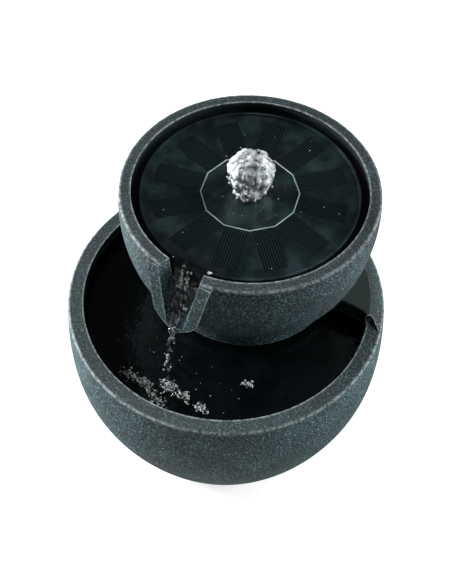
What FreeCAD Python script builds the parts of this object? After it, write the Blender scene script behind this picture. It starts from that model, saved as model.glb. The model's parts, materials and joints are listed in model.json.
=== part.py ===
"""Two-tier solar fountain: a deep lower bowl with a pump, and an upper bowl with a solar panel that spills into it.

Units are millimetres. The origin is the centre of the lower bowl's flat base, +Z is up and the spout faces -Y.
The upper bowl stands on a deck at the back of the lower bowl, so its axis is UPPER_Y behind the origin.
Each function builds one sub-part, or one group of identical sub-parts, and save() writes it as a STEP file.
"""

import math
import os

import FreeCAD
import Part

V = FreeCAD.Vector
X_AXIS, Y_AXIS, Z_AXIS = V(1, 0, 0), V(0, 1, 0), V(0, 0, 1)
ORIGIN = V(0, 0, 0)

# Lower bowl
LOWER_RIM_Z = 213.0
LOWER_RIM_R = 155.8
LOWER_RIM_WIDTH = 15.0
LOWER_BASE_R = 105.0
LOWER_WIDEST_R = 159.0
LOWER_WIDEST_Z = 160.0
LOWER_FLOOR_Z = 12.0
LOWER_WALL = 10.0
DECK_UNDERSIDE_Z = 203.0
DECK_TOP_Z = 221.0
DECK_FRONT_Y = 48.0
DECK_TONGUE_R = 88.0
DECK_HOLE_R = 42.0

# Upper bowl
UPPER_Y = 40.0
UPPER_RIM_Z = 334.0
UPPER_RIM_R = 120.0
UPPER_RIM_WIDTH = 11.0
UPPER_BASE_Z = DECK_TOP_Z
UPPER_BASE_R = 76.0
UPPER_FLOOR_Z = UPPER_BASE_Z + 10.0

# Spout: a V-shaped beak on the upper bowl, whose front face leans outwards as it goes down
SPOUT_FRONT = 120.5
SPOUT_LEAN = 0.15
SPOUT_TIP_DROP = 72.0
WEIR_DROP = 8.0

# Solar panel
PANEL_R = 102.0
PANEL_TOP_Z = UPPER_RIM_Z - 6.5
PANEL_COVER_THICK = 1.5
TRAY_FLOOR_Z = PANEL_TOP_Z - 2.0
TRAY_UNDERSIDE_Z = PANEL_TOP_Z - 10.0
PANEL_LIP = 2.5
CELL_COUNT = 12
CELL_WIDTH = 21.2
CELL_LENGTH = 45.6
BUSBAR_R = 46.0
BUSBAR_WIDTH = 0.9
CENTRE_HOLE_R = 7.5

# Control box under the panel
BOX_HALF_X = 36.0
BOX_FRONT_Y = UPPER_Y + 14.0
BOX_BACK_Y = UPPER_Y + 62.0
BOX_MID_Y = (BOX_FRONT_Y + BOX_BACK_Y) / 2
BOX_BOTTOM_Z = TRAY_UNDERSIDE_Z - 26.5
BOX_WALL = 2.5
SEAL_THICK = 1.0
LID_THICK = 2.5
LID_BOTTOM_Z = BOX_BOTTOM_Z - SEAL_THICK - LID_THICK
BOSS_INSET = 6.0
BUTTON_R = 5.0
BUTTON_Y = BOX_MID_Y + 4.0
BUTTON_X = 8.0
SOCKET_X = -22.0

# Water path
HOSE_BORE_R = 6.05
HOSE_R = 8.5
SPIGOT_R = 6.0
SPIGOT_BORE_R = 4.0
BULKHEAD_R = 10.0
GLAND_X = 30.0
CABLE_R = 2.2
CABLE_BORE_R = 2.25

# Pump: its rotor turns about a horizontal axis along Y, and its outlet stands on the upper bowl's axis
PUMP_AXIS_Z = 39.0
PUMP_HALF = 22.0
ROTOR_WELL_R = 9.5
VOLUTE_R = 18.0
SHAFT_R = 1.5
STATOR_CAVITY_R = 18.0
DIAL_R = 9.0

# Drain
DRAIN_Z = 24.0
DRAIN_R = 8.0
DRAIN_FACE_Y = 114.0

# Visible water plume above the nozzle
PLUME_TOP_Z = 375.0
PLUME_R = 21.5

OUT = "parts"


# ---------------------------------------------------------------- helpers
def save(name, *solids):
    """Writes the solids as one node."""
    shape = solids[0] if len(solids) == 1 else Part.makeCompound(list(solids))
    shape.exportStep(os.path.join(OUT, name + ".step"))


def cylinder(r, z0, z1, x=0.0, y=0.0):
    return Part.makeCylinder(r, z1 - z0, V(x, y, z0), Z_AXIS)


def ring(r_out, r_in, z0, z1, x=0.0, y=0.0):
    return cylinder(r_out, z0, z1, x, y).cut(cylinder(r_in, z0, z1, x, y))


def box(x0, x1, y0, y1, z0, z1):
    return Part.makeBox(x1 - x0, y1 - y0, z1 - z0, V(x0, y0, z0))


def pump_cylinder(r, y0, y1, x=0.0, dz=0.0):
    """A cylinder along Y on the pump's axis. y0 and y1 count from the outlet's centre line."""
    return Part.makeCylinder(r, y1 - y0, V(x, UPPER_Y + y0, PUMP_AXIS_Z + dz), Y_AXIS)


def pump_ring(r_out, r_in, y0, y1):
    return pump_cylinder(r_out, y0, y1).cut(pump_cylinder(r_in, y0, y1))


def pump_box(half_x, half_z, y0, y1):
    return box(-half_x, half_x, UPPER_Y + y0, UPPER_Y + y1, PUMP_AXIS_Z - half_z, PUMP_AXIS_Z + half_z)


def spline(points):
    curve = Part.BSplineCurve()
    curve.interpolate([V(r, 0, z) for r, z in points])
    return curve.toShape()


def solid_of_revolution(side, centre_y):
    """Turns a side curve, from its bottom point to its top point, into a solid about the vertical axis."""
    bottom, top = side.Vertexes[0].Point, side.Vertexes[-1].Point
    if bottom.z > top.z:
        bottom, top = top, bottom
    low, high = V(0, 0, bottom.z), V(0, 0, top.z)
    edges = [side, Part.makeLine(top, high), Part.makeLine(high, low), Part.makeLine(low, bottom)]
    face = Part.Face(Part.Wire(Part.__sortEdges__(edges)))
    solid = face.revolve(ORIGIN, Z_AXIS, 360)
    solid.translate(V(0, centre_y, 0))
    return solid


def turned(points, centre_y):
    """A solid turned about a vertical axis from straight-sided (radius, height) points."""
    corners = [V(r, 0, z) for r, z in points]
    solid = Part.Face(Part.makePolygon(corners + corners[:1])).revolve(ORIGIN, Z_AXIS, 360)
    solid.translate(V(0, centre_y, 0))
    return solid


def circle_edges(solid, z, radii, tolerance=0.01):
    """The circular edges at height z with one of these radii."""
    found = []
    for edge in solid.Edges:
        if isinstance(edge.Curve, Part.Circle) and abs(edge.Curve.Center.z - z) < tolerance:
            if any(abs(edge.Curve.Radius - r) < tolerance for r in radii):
                found.append(edge)
    return found


def vertical_edges(solid):
    return [e for e in solid.Edges if abs(e.tangentAt(e.FirstParameter).z) > 0.999 and e.Length > 2]


def hexagon(across_flats, z0, z1, x, y):
    corner_r = across_flats / math.sqrt(3)
    corners = []
    for i in range(7):
        turn = math.radians(60 * i)
        corners.append(V(x + corner_r * math.cos(turn), y + corner_r * math.sin(turn), z0))
    return Part.Face(Part.makePolygon(corners)).extrude(V(0, 0, z1 - z0))


def cable(points, radius):
    """A round cable: straight at both ends, with a smooth curve through the points between."""
    places = [V(*p) for p in points]
    leaving = (places[1] - places[0]).normalize()
    arriving = (places[-1] - places[-2]).normalize()
    curve = Part.BSplineCurve()
    curve.interpolate(Points=places[1:-1], InitialTangent=leaving, FinalTangent=arriving)
    edges = [Part.makeLine(places[0], places[1]), curve.toShape(), Part.makeLine(places[-2], places[-1])]
    outline = Part.Wire(Part.makeCircle(radius, places[0], leaving))
    return Part.Wire(edges).makePipeShell([outline], True, False)


# ---------------------------------------------------------------- lower bowl
def lower_opening():
    """The pool's mouth: a round hole cut short by the deck, whose tongue reaches forward under the upper bowl."""
    low, high = DECK_UNDERSIDE_Z - 1, DECK_TOP_Z + 5
    reach = LOWER_RIM_R
    mouth = cylinder(LOWER_RIM_R - LOWER_RIM_WIDTH, low, high)
    mouth = mouth.cut(box(-reach, reach, DECK_FRONT_Y, reach, low, high))
    mouth = mouth.cut(cylinder(DECK_TONGUE_R, low, high, 0, UPPER_Y)).Solids[0]
    corner_radius = 15.0
    return mouth.makeFillet(corner_radius, vertical_edges(mouth))


def deck_crown():
    """The raised top of the deck, which slopes up from the rim's outer edge and stops in a step at the rim."""
    slope_width = 14.0
    plateau_r = LOWER_RIM_R - slope_width
    embed = 4.0
    low = LOWER_RIM_Z - embed
    profile = [(0, low), (LOWER_RIM_R - 1.0, low), (LOWER_RIM_R - 1.0, LOWER_RIM_Z - 0.4), (plateau_r, DECK_TOP_Z)]
    crown = turned(profile + [(0, DECK_TOP_Z)], 0)
    end_x, swept_y, forward_x, forward_y = 136.0, 34.0, 110.0, 30.0
    half = [(LOWER_RIM_R, LOWER_RIM_R), (LOWER_RIM_R, swept_y), (end_x, DECK_FRONT_Y), (forward_x, forward_y)]
    outline = half + [(-x, y) for x, y in reversed(half)]
    corners = [V(x, y, low) for x, y in outline]
    behind = Part.Face(Part.makePolygon(corners + corners[:1])).extrude(V(0, 0, DECK_TOP_Z - low))
    crown = crown.common(behind.fuse(cylinder(DECK_TONGUE_R, low, DECK_TOP_Z, 0, UPPER_Y)))
    return crown.cut(lower_opening()).removeSplitter()


def lower_bowl():
    mid_r, mid_z = 142.5, 80.0
    shoulder_r, shoulder_z = 156.8, 130.0
    outside = [(LOWER_BASE_R, 0), (mid_r, mid_z), (shoulder_r, shoulder_z), (LOWER_WIDEST_R, LOWER_WIDEST_Z)]
    outer = solid_of_revolution(spline(outside + [(LOWER_RIM_R, LOWER_RIM_Z)]), 0)
    rim_round = 2.5
    outer = outer.makeFillet(rim_round, circle_edges(outer, LOWER_RIM_Z, [LOWER_RIM_R]))
    base_round = 5.0
    outer = outer.makeFillet(base_round, circle_edges(outer, 0, [LOWER_BASE_R]))
    neck_r = LOWER_RIM_R - LOWER_RIM_WIDTH + 2.5
    inside = [(LOWER_BASE_R - LOWER_WALL, LOWER_FLOOR_Z), (mid_r - LOWER_WALL, mid_z)]
    inside += [(LOWER_WIDEST_R - LOWER_WALL, LOWER_WIDEST_Z - 8), (neck_r, DECK_UNDERSIDE_Z)]
    cavity = solid_of_revolution(spline(inside), 0)
    floor_round = 9.0
    cavity = cavity.makeFillet(floor_round, circle_edges(cavity, LOWER_FLOOR_Z, [LOWER_BASE_R - LOWER_WALL]))
    bowl = outer.fuse(deck_crown()).removeSplitter()
    bowl = bowl.cut(cavity).cut(lower_opening())
    bowl = bowl.cut(cylinder(DECK_HOLE_R, DECK_UNDERSIDE_Z - 1, DECK_TOP_Z + 1, 0, UPPER_Y))
    bowl = bowl.cut(seat_recess())
    bowl = bowl.cut(drain_bore()).cut(drain_spot_face()).removeSplitter().Solids[0]
    return round_deck_edge(bowl)


def round_deck_edge(bowl):
    """Rounds the edge of the deck where it meets the opening."""
    front_round = 2.5
    edges = []
    for edge in bowl.Edges:
        extent = edge.BoundBox
        level = abs(extent.ZMin - DECK_TOP_Z) < 0.01 and abs(extent.ZMax - DECK_TOP_Z) < 0.01
        if level and extent.YMax < DECK_FRONT_Y + 30 and extent.XLength > 8:
            edges.append(edge)
    return bowl.makeFillet(front_round, edges)


def seat_recess():
    recess_depth, recess_r = 2.0, 79.0
    return cylinder(recess_r, DECK_TOP_Z - recess_depth, DECK_TOP_Z + 1, 0, UPPER_Y)


def drain_bore():
    return Part.makeCylinder(DRAIN_R, 60, V(0, 80, DRAIN_Z), Y_AXIS)


def drain_spot_face():
    spot_r = 14.0
    return Part.makeCylinder(spot_r, 30, V(0, DRAIN_FACE_Y, DRAIN_Z), Y_AXIS)


def seat_ring():
    """The flat rubber ring that the upper bowl stands on. It fills the recess and stands flush with the deck."""
    return ring(77.0, 56.0, DECK_TOP_Z - 2.0, DECK_TOP_Z, 0, UPPER_Y)


def drain_seal():
    thick = 1.5
    outer = Part.makeCylinder(12.0, thick, V(0, DRAIN_FACE_Y, DRAIN_Z), Y_AXIS)
    return outer.cut(Part.makeCylinder(DRAIN_R, thick, V(0, DRAIN_FACE_Y, DRAIN_Z), Y_AXIS))


def drain_plug():
    """A turned plug: a stem in the bore, a flange on the seal and a finger pull."""
    flange_y = DRAIN_FACE_Y + 1.5
    stem = Part.makeCylinder(DRAIN_R - 0.05, 14.0, V(0, flange_y - 14.0, DRAIN_Z), Y_AXIS)
    flange = Part.makeCylinder(12.0, 3.0, V(0, flange_y, DRAIN_Z), Y_AXIS)
    pull_half = 1.5
    pull = box(-pull_half, pull_half, flange_y + 3.0, flange_y + 9.0, DRAIN_Z - 8.0, DRAIN_Z + 8.0)
    return stem.fuse(flange).fuse(pull).removeSplitter()


# ---------------------------------------------------------------- upper bowl
def spout_point(lateral, drop, radial=None):
    """A point given by its distance off the spout's centre line, its drop below the rim and its reach from the axis."""
    reach = SPOUT_FRONT + SPOUT_LEAN * drop if radial is None else radial
    return V(lateral, UPPER_Y - reach, UPPER_RIM_Z - drop)


def mirrored(half):
    """A closed outline from its left half, listed from the top down, whose last point is on the centre line."""
    return half + [(-x, drop) for x, drop in reversed(half[:-1])]


def spout_beak():
    """The solid beak before its channel is cut: the front face's outline pushed back into the bowl's wall."""
    outline = mirrored([(-32.5, 0.0), (-22.8, 52.0), (-17.0, 60.0), (-10.0, 66.0), (0.0, SPOUT_TIP_DROP)])
    corners = [spout_point(x, drop) for x, drop in outline]
    depth = 24.0
    return Part.Face(Part.makePolygon(corners + corners[:1])).extrude(V(0, depth, 0))


def spout_channel():
    """The V-shaped channel: it starts at a weir in the wall and drops steeply to the beak's tip."""
    above = -3.0
    inner = mirrored([(-17.2, above), (-15.0, WEIR_DROP), (0.0, WEIR_DROP + 1.0)])
    front = mirrored([(-21.5, above), (-8.8, 63.0), (0.0, SPOUT_TIP_DROP - 2.0)])
    inner_reach = 103.0
    overrun = 1.2
    wires = [Part.makePolygon([spout_point(x, d, inner_reach) for x, d in inner + inner[:1]])]
    far = []
    for (xa, da), (xb, db) in zip(inner, front):
        start, end = spout_point(xa, da, inner_reach), spout_point(xb, db)
        far.append(start + (end - start) * overrun)
    wires.append(Part.makePolygon(far + far[:1]))
    return Part.makeLoft(wires, True, True)


def upper_bowl():
    outside = [(UPPER_BASE_R, UPPER_BASE_Z), (98.0, 233.0), (111.5, 256.0), (119.6, 289.0), (121.4, 312.0)]
    outer = solid_of_revolution(spline(outside + [(UPPER_RIM_R, UPPER_RIM_Z)]), UPPER_Y)
    inner_rim_r = UPPER_RIM_R - UPPER_RIM_WIDTH
    inside = [(70.0, UPPER_FLOOR_Z), (89.0, 242.0), (101.5, 262.0), (109.0, 292.0), (110.0, 313.0)]
    cavity = solid_of_revolution(spline(inside + [(inner_rim_r, UPPER_RIM_Z)]), UPPER_Y)
    rim_round = 2.0
    outer = outer.makeFillet(rim_round, circle_edges(outer, UPPER_RIM_Z, [UPPER_RIM_R]))
    bowl = outer.fuse(spout_beak()).cut(cavity).cut(spout_channel())
    bowl = bowl.cut(cylinder(BULKHEAD_R, UPPER_BASE_Z - 1, UPPER_FLOOR_Z + 1, 0, UPPER_Y))
    bowl = bowl.cut(cylinder(6.0, UPPER_BASE_Z - 1, UPPER_FLOOR_Z + 1, GLAND_X, UPPER_Y))
    return bowl.removeSplitter().Solids[0]


def bowl_bulkhead():
    """The through-bowl fitting: a flange on the floor, a threaded barrel and a hose spigot at each end."""
    flange_z = UPPER_FLOOR_Z + 2.0
    body = cylinder(17.0, flange_z, flange_z + 4.0, 0, UPPER_Y)
    body = body.fuse(cylinder(BULKHEAD_R, 205.0, flange_z, 0, UPPER_Y))
    body = body.fuse(cylinder(SPIGOT_R, 190.0, 205.0, 0, UPPER_Y))
    body = body.fuse(cylinder(SPIGOT_R, flange_z + 4.0, flange_z + 20.0, 0, UPPER_Y))
    return body.cut(cylinder(SPIGOT_BORE_R, 189.0, flange_z + 21.0, 0, UPPER_Y)).removeSplitter()


def bulkhead_seal():
    return ring(16.0, BULKHEAD_R, UPPER_FLOOR_Z, UPPER_FLOOR_Z + 2.0, 0, UPPER_Y)


def bulkhead_nut():
    nut = hexagon(28.0, UPPER_BASE_Z - 9.0, UPPER_BASE_Z, 0, UPPER_Y)
    return nut.cut(cylinder(BULKHEAD_R, UPPER_BASE_Z - 10, UPPER_BASE_Z + 1, 0, UPPER_Y))


def cable_gland():
    body = cylinder(9.0, UPPER_FLOOR_Z, UPPER_FLOOR_Z + 5.0, GLAND_X, UPPER_Y)
    body = body.fuse(cylinder(6.0, UPPER_BASE_Z - 10.0, UPPER_FLOOR_Z, GLAND_X, UPPER_Y))
    return body.cut(cylinder(CABLE_BORE_R, 200.0, 250.0, GLAND_X, UPPER_Y)).removeSplitter()


def gland_nut():
    nut = hexagon(16.0, UPPER_BASE_Z - 7.0, UPPER_BASE_Z, GLAND_X, UPPER_Y)
    return nut.cut(cylinder(6.0, UPPER_BASE_Z - 8, UPPER_BASE_Z + 1, GLAND_X, UPPER_Y))


def upper_hose():
    return ring(HOSE_R, HOSE_BORE_R, UPPER_FLOOR_Z + 8.0, 312.0, 0, UPPER_Y)


def lower_hose():
    return ring(HOSE_R, HOSE_BORE_R, 62.0, 204.0, 0, UPPER_Y)


def hose_clip(z):
    """A spring band with two finger ears."""
    band_r, height = HOSE_R + 1.2, 5.0
    band = ring(band_r, HOSE_R, z, z + height, 0, UPPER_Y)
    for side in (-1, 1):
        ear = box(side * 3.0 - 0.6, side * 3.0 + 0.6, UPPER_Y - band_r - 6.0, UPPER_Y - band_r + 0.6, z, z + height)
        band = band.fuse(ear)
    return band.removeSplitter()


def panel_cable():
    """The cable from the plug under the control box down through the gland to the lower plug."""
    path = [(GLAND_X, UPPER_Y, 197.0), (GLAND_X, UPPER_Y, 237.0), (4.0, 60.0, 247.0)]
    path += [(SOCKET_X, BOX_MID_Y, 257.0), (SOCKET_X, BOX_MID_Y, 262.0)]
    return cable(path, CABLE_R)


def panel_plug():
    """A barrel plug that pushes up into the control box's socket."""
    body = cylinder(4.2, 262.0, LID_BOTTOM_Z - 4.6, SOCKET_X, BOX_MID_Y)
    return body.fuse(cylinder(2.5, LID_BOTTOM_Z - 4.6, LID_BOTTOM_Z + 4.0, SOCKET_X, BOX_MID_Y)).removeSplitter()


def lower_plug():
    body = cylinder(4.2, 181.0, 197.0, GLAND_X, UPPER_Y)
    return body.fuse(cylinder(2.5, 172.0, 181.0, GLAND_X, UPPER_Y)).removeSplitter()


# ---------------------------------------------------------------- solar panel
def panel_tray():
    """The moulded disc that carries the cells: a flat floor, an upstand round the edge and a stiffening skirt."""
    tray = cylinder(PANEL_R, TRAY_UNDERSIDE_Z, PANEL_TOP_Z, 0, UPPER_Y)
    tray = tray.cut(cylinder(PANEL_R - PANEL_LIP, TRAY_FLOOR_Z, PANEL_TOP_Z, 0, UPPER_Y))
    skirt_drop = 6.0
    tray = tray.fuse(ring(PANEL_R, PANEL_R - 3.0, TRAY_UNDERSIDE_Z - skirt_drop, TRAY_UNDERSIDE_Z, 0, UPPER_Y))
    tray = tray.cut(cylinder(CENTRE_HOLE_R, TRAY_UNDERSIDE_Z, PANEL_TOP_Z, 0, UPPER_Y)).removeSplitter()
    edge_round = 1.0
    return tray.makeFillet(edge_round, circle_edges(tray, PANEL_TOP_Z, [PANEL_R]))


def solar_cells():
    """One strip of cells behind each side of the busbar's polygon, pointing outwards."""
    start = BUSBAR_R * math.cos(math.pi / CELL_COUNT) + 0.6
    thick = 0.3
    half = CELL_WIDTH / 2
    cells = []
    for i in range(CELL_COUNT):
        cell = box(start, start + CELL_LENGTH, -half, half, TRAY_FLOOR_Z, TRAY_FLOOR_Z + thick)
        cell.rotate(ORIGIN, Z_AXIS, (i + 0.5) * 360.0 / CELL_COUNT)
        cell.translate(V(0, UPPER_Y, 0))
        cells.append(cell)
    return cells


def polygon_prism(radius, z0, z1):
    corners = []
    for i in range(CELL_COUNT + 1):
        turn = 2 * math.pi * i / CELL_COUNT
        corners.append(V(radius * math.cos(turn), UPPER_Y + radius * math.sin(turn), z0))
    return Part.Face(Part.makePolygon(corners)).extrude(V(0, 0, z1 - z0))


def cell_busbar():
    """The bright line that joins the cells: a ring with one side per cell."""
    top = PANEL_TOP_Z - PANEL_COVER_THICK
    return polygon_prism(BUSBAR_R, TRAY_FLOOR_Z, top).cut(
        polygon_prism(BUSBAR_R - BUSBAR_WIDTH, TRAY_FLOOR_Z, top)
    )


def panel_cover():
    low = PANEL_TOP_Z - PANEL_COVER_THICK
    return ring(PANEL_R - PANEL_LIP - 0.1, CENTRE_HOLE_R, low, PANEL_TOP_Z, 0, UPPER_Y)


def leg_places():
    """The four legs stand on the flat part of the floor."""
    reach = 60.0
    turns = [math.radians(45 + 90 * i) for i in range(4)]
    return [(reach * math.cos(t), UPPER_Y + reach * math.sin(t)) for t in turns]


def panel_legs():
    return [cylinder(5.0, UPPER_FLOOR_Z + 3.0, TRAY_UNDERSIDE_Z, x, y) for x, y in leg_places()]


def leg_pads():
    return [cylinder(6.5, UPPER_FLOOR_Z, UPPER_FLOOR_Z + 3.0, x, y) for x, y in leg_places()]


def boss_places():
    x = BOX_HALF_X - BOSS_INSET
    return [(sx * x, y) for sx in (-1, 1) for y in (BOX_FRONT_Y + BOSS_INSET, BOX_BACK_Y - BOSS_INSET)]


def control_box():
    """A box moulded closed at the top, with a screw boss in each corner."""
    top = TRAY_UNDERSIDE_Z
    shell = box(-BOX_HALF_X, BOX_HALF_X, BOX_FRONT_Y, BOX_BACK_Y, BOX_BOTTOM_Z, top)
    shell = shell.makeFillet(4.0, vertical_edges(shell))
    w = BOX_WALL
    shell = shell.cut(
        box(-BOX_HALF_X + w, BOX_HALF_X - w, BOX_FRONT_Y + w, BOX_BACK_Y - w, BOX_BOTTOM_Z, top - w)
    )
    for x, y in boss_places():
        shell = shell.fuse(cylinder(3.6, BOX_BOTTOM_Z, top - w, x, y))
    for x, y in boss_places():
        shell = shell.cut(cylinder(1.3, BOX_BOTTOM_Z, BOX_BOTTOM_Z + 12.0, x, y))
    return shell.removeSplitter()


def lid_outline(z0, z1):
    plate = box(-BOX_HALF_X, BOX_HALF_X, BOX_FRONT_Y, BOX_BACK_Y, z0, z1)
    return plate.makeFillet(4.0, [e for e in plate.Edges if abs(e.tangentAt(e.FirstParameter).z) > 0.999])


def control_box_lid():
    lid = lid_outline(LID_BOTTOM_Z, LID_BOTTOM_Z + LID_THICK)
    for x, y in boss_places():
        lid = lid.cut(cylinder(1.7, LID_BOTTOM_Z - 1, BOX_BOTTOM_Z, x, y))
    lid = lid.cut(cylinder(BUTTON_R, LID_BOTTOM_Z - 1, BOX_BOTTOM_Z, BUTTON_X, BUTTON_Y))
    return lid.cut(cylinder(5.0, LID_BOTTOM_Z - 1, BOX_BOTTOM_Z, SOCKET_X, BOX_MID_Y))


def lid_seal():
    low = LID_BOTTOM_Z + LID_THICK
    seal = lid_outline(low, low + SEAL_THICK)
    w = BOX_WALL
    inside = box(-BOX_HALF_X + w, BOX_HALF_X - w, BOX_FRONT_Y + w, BOX_BACK_Y - w, low, low + SEAL_THICK)
    seal = seal.cut(inside)
    for x, y in boss_places():
        seal = seal.fuse(ring(3.6, 1.7, low, low + SEAL_THICK, x, y))
    return seal.removeSplitter()


def lid_screws():
    screws = []
    for x, y in boss_places():
        screw = cylinder(2.8, LID_BOTTOM_Z - 2.0, LID_BOTTOM_Z, x, y)
        screw = screw.fuse(cylinder(1.25, LID_BOTTOM_Z, BOX_BOTTOM_Z + 9.0, x, y)).removeSplitter()
        slot = box(x - 2.0, x + 2.0, y - 0.4, y + 0.4, LID_BOTTOM_Z - 2.0, LID_BOTTOM_Z - 1.0)
        cross = box(x - 0.4, x + 0.4, y - 2.0, y + 2.0, LID_BOTTOM_Z - 2.0, LID_BOTTOM_Z - 1.0)
        screws.append(screw.cut(slot).cut(cross))
    return screws


def battery_cell():
    length, radius = 62.0, 9.0
    middle_z = TRAY_UNDERSIDE_Z - BOX_WALL - radius - 0.5
    body = Part.makeCylinder(radius, length, V(-length / 2, BOX_MID_Y, middle_z), X_AXIS)
    return body.makeFillet(0.8, body.Edges[:1])


def battery_contacts():
    """The two sprung plates at the battery's ends."""
    inside_x = BOX_HALF_X - BOX_WALL
    top = TRAY_UNDERSIDE_Z - BOX_WALL - 1.0
    plates = []
    for side in (-1, 1):
        near, far = sorted((side * 31.0, side * inside_x))
        plates.append(box(near, far, BOX_MID_Y - 5.0, BOX_MID_Y + 5.0, top - 16.0, top))
    return plates


def circuit_board():
    return box(-12.0, 30.0, BOX_MID_Y - 12.0, BOX_MID_Y + 12.0, BOX_BOTTOM_Z + 1.6, BOX_BOTTOM_Z + 3.2)


def board_parts():
    """The switch under the board, and a chip and a coil on top of it."""
    board_low, board_high = BOX_BOTTOM_Z + 1.6, BOX_BOTTOM_Z + 3.2
    switch = box(BUTTON_X - 3.5, BUTTON_X + 3.5, BUTTON_Y - 3.5, BUTTON_Y + 3.5, board_low - 1.2, board_low)
    chip = box(-8.0, -2.0, BOX_MID_Y - 3.0, BOX_MID_Y + 3.0, board_high, board_high + 1.2)
    coil = cylinder(3.5, board_high, board_high + 1.6, 20.0, BOX_MID_Y - 5.0)
    return [switch, chip, coil]


def panel_socket():
    socket = cylinder(5.0, LID_BOTTOM_Z - 4.5, BOX_BOTTOM_Z + 3.0, SOCKET_X, BOX_MID_Y)
    return socket.cut(cylinder(2.6, LID_BOTTOM_Z - 4.5, BOX_BOTTOM_Z + 1.0, SOCKET_X, BOX_MID_Y))


def power_button():
    """A round push button in the lid, standing proud of it, with room for its travel above."""
    proud = 2.6
    button = cylinder(BUTTON_R - 0.05, LID_BOTTOM_Z - proud, LID_BOTTOM_Z + 1.9, BUTTON_X, BUTTON_Y)
    return button.makeFillet(1.0, circle_edges(button, LID_BOTTOM_Z - proud, [BUTTON_R - 0.05]))


# ---------------------------------------------------------------- nozzle and plume
def nozzle():
    """A bubbler head: a flange on the panel, a drilled dome and a stem that pushes into the hose."""
    head_top = PANEL_TOP_Z + 9.0
    body = cylinder(13.0, PANEL_TOP_Z, PANEL_TOP_Z + 2.5, 0, UPPER_Y)
    head = cylinder(9.0, PANEL_TOP_Z + 2.5, head_top, 0, UPPER_Y)
    head = head.makeFillet(2.5, circle_edges(head, head_top, [9.0]))
    body = body.fuse(head).fuse(cylinder(SPIGOT_R, 292.0, PANEL_TOP_Z, 0, UPPER_Y))
    body = body.cut(cylinder(SPIGOT_BORE_R, 291.0, head_top - 2.0, 0, UPPER_Y))
    body = body.cut(cylinder(1.6, head_top - 3.0, head_top + 1.0, 0, UPPER_Y))
    for i in range(6):
        turn = math.radians(60 * i)
        body = body.cut(cylinder(1.0, head_top - 3.0, head_top + 1.0, 3.2 * math.cos(turn), UPPER_Y + 3.2 * math.sin(turn)))
    return body.removeSplitter()


def water_jet():
    """The plume that stands on the nozzle when the pump runs."""
    foot = PANEL_TOP_Z + 0.6
    side = spline([(17.0, foot), (19.8, 338.0), (PLUME_R, 352.0), (18.0, 366.0), (6.0, PLUME_TOP_Z)])
    plume = solid_of_revolution(side, UPPER_Y)
    return plume.cut(cylinder(13.4, foot - 1, PANEL_TOP_Z + 9.4, 0, UPPER_Y))


# ---------------------------------------------------------------- pump
def volute_screw_places():
    inset = 17.5
    return [(sx * inset, sz * inset) for sx in (-1, 1) for sz in (-1, 1)]


def pump_body():
    """The motor housing: a dry ring-shaped cavity for the stator round a closed well for the rotor."""
    body = pump_box(PUMP_HALF, PUMP_HALF, 8, 42)
    long_edges = [e for e in body.Edges if abs(e.tangentAt(e.FirstParameter).y) > 0.999]
    body = body.makeFillet(4.0, long_edges)
    body = body.cut(pump_cylinder(STATOR_CAVITY_R, 12, 42))
    body = body.fuse(pump_cylinder(11.0, 8, 38)).cut(pump_cylinder(ROTOR_WELL_R, 8, 35))
    body = body.cut(pump_ring(17.4, 15.4, 8, 9.5))
    for x, dz in volute_screw_places():
        body = body.cut(pump_cylinder(1.3, 8, 20, x, dz))
    return body.removeSplitter()


def volute_cover():
    """The pump chamber: a round housing with a three-armed inlet in front and the outlet spigot on top."""
    plate = pump_box(PUMP_HALF, PUMP_HALF, 5, 8)
    plate = plate.makeFillet(4.0, [e for e in plate.Edges if abs(e.tangentAt(e.FirstParameter).y) > 0.999])
    cover = pump_cylinder(VOLUTE_R, -9, 8).fuse(plate)
    top = PUMP_AXIS_Z + 39.0
    cover = cover.fuse(cylinder(SPIGOT_R, PUMP_AXIS_Z + 12, top, 0, UPPER_Y))
    cover = cover.cut(pump_cylinder(14.0, -6, 8))
    cover = cover.cut(cylinder(SPIGOT_BORE_R, PUMP_AXIS_Z + 10, top + 1, 0, UPPER_Y))
    inlet = pump_ring(9.0, 5.0, -9, -6)
    for i in range(3):
        arm = box(-1.0, 1.0, UPPER_Y - 9, UPPER_Y - 6, PUMP_AXIS_Z, PUMP_AXIS_Z + 10)
        arm.rotate(V(0, UPPER_Y, PUMP_AXIS_Z), Y_AXIS, 120 * i)
        inlet = inlet.cut(arm)
    cover = cover.cut(inlet).cut(pump_cylinder(3.5, -9, -6))
    for x, dz in volute_screw_places():
        cover = cover.cut(pump_cylinder(1.6, 5, 8, x, dz))
    return cover.removeSplitter()


def volute_seal():
    return pump_ring(17.4, 15.4, 8, 9.5)


def volute_screws():
    screws = []
    for x, dz in volute_screw_places():
        head = pump_cylinder(2.7, 3.0, 5.0, x, dz)
        screws.append(head.fuse(pump_cylinder(1.25, 5, 18, x, dz)).removeSplitter())
    return screws


def rotor_shaft():
    return pump_cylinder(SHAFT_R, -9, 35)


def shaft_bushes():
    return [pump_ring(3.5, SHAFT_R, -9, -5.4), pump_ring(4.0, SHAFT_R, 33.9, 35)]


def impeller():
    """A hub with a running bore, a back disc and straight vanes."""
    wheel = pump_cylinder(3.2, -3.5, 33.6).fuse(pump_cylinder(12.8, 4, 5.5))
    vane_count = 6
    for i in range(vane_count):
        vane = box(-0.7, 0.7, UPPER_Y - 3.5, UPPER_Y + 4, PUMP_AXIS_Z + 2.6, PUMP_AXIS_Z + 12.6)
        vane.rotate(V(0, UPPER_Y, PUMP_AXIS_Z), Y_AXIS, 360.0 / vane_count * i)
        wheel = wheel.fuse(vane)
    return wheel.cut(pump_cylinder(SHAFT_R + 0.05, -4, 34)).removeSplitter()


def rotor_magnet():
    return pump_ring(8.8, 3.2, 10, 33)


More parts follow.
